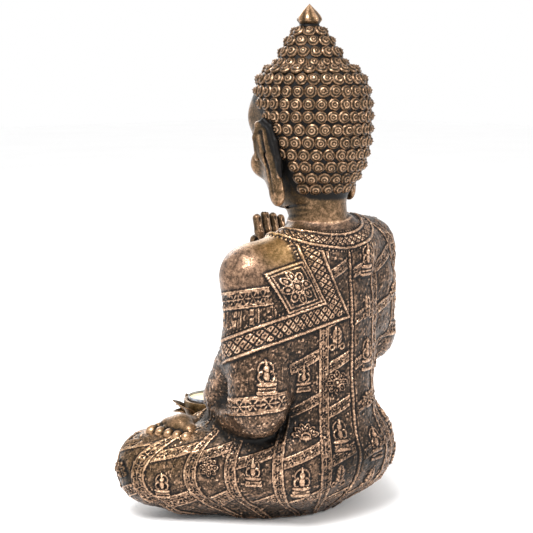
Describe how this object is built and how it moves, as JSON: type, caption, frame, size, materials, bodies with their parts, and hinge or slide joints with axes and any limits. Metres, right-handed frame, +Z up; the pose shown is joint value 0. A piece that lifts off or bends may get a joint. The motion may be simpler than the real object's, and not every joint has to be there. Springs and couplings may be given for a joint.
{
  "type": "seated figure statue with tealight holder",
  "caption": "Seated cross-legged resin statue with a raised hand and a lotus cup in the other hand that holds a lift-out tealight.",
  "frame": {"origin": "middle of the bounding box, on the plane that the felt pads stand on", "axes": "+Z up, the figure faces -Y, its left side is +X"},
  "size_m": [0.2578, 0.1768, 0.4051],
  "materials": {
    "cast_resin": "satin",
    "pin_steel": "satin",
    "board": "matte",
    "felt": "matte",
    "can": "gloss",
    "wax": "satin",
    "tab_steel": "satin",
    "cotton": "matte"
  },
  "bodies": {
    "statue": {"body_casting": "cast_resin", "head_casting": "cast_resin", "crown_bud": "cast_resin", "raised_hand": "cast_resin", "hand_pin": "pin_steel", "lotus_cup": "cast_resin", "closing_board": "board", "left_back_pad": "felt", "right_back_pad": "felt", "right_front_pad": "felt", "left_front_pad": "felt"},
    "tealight": {"tealight_can": "can", "tealight_wax": "wax", "wick_tab": "tab_steel", "wick": "cotton"}
  },
  "joints": [
    {"name": "tealight_lift", "type": "slide", "parent": "statue", "child": "tealight", "axis": [0, 0, 1], "range_m": [0, 0.045]}
  ]
}
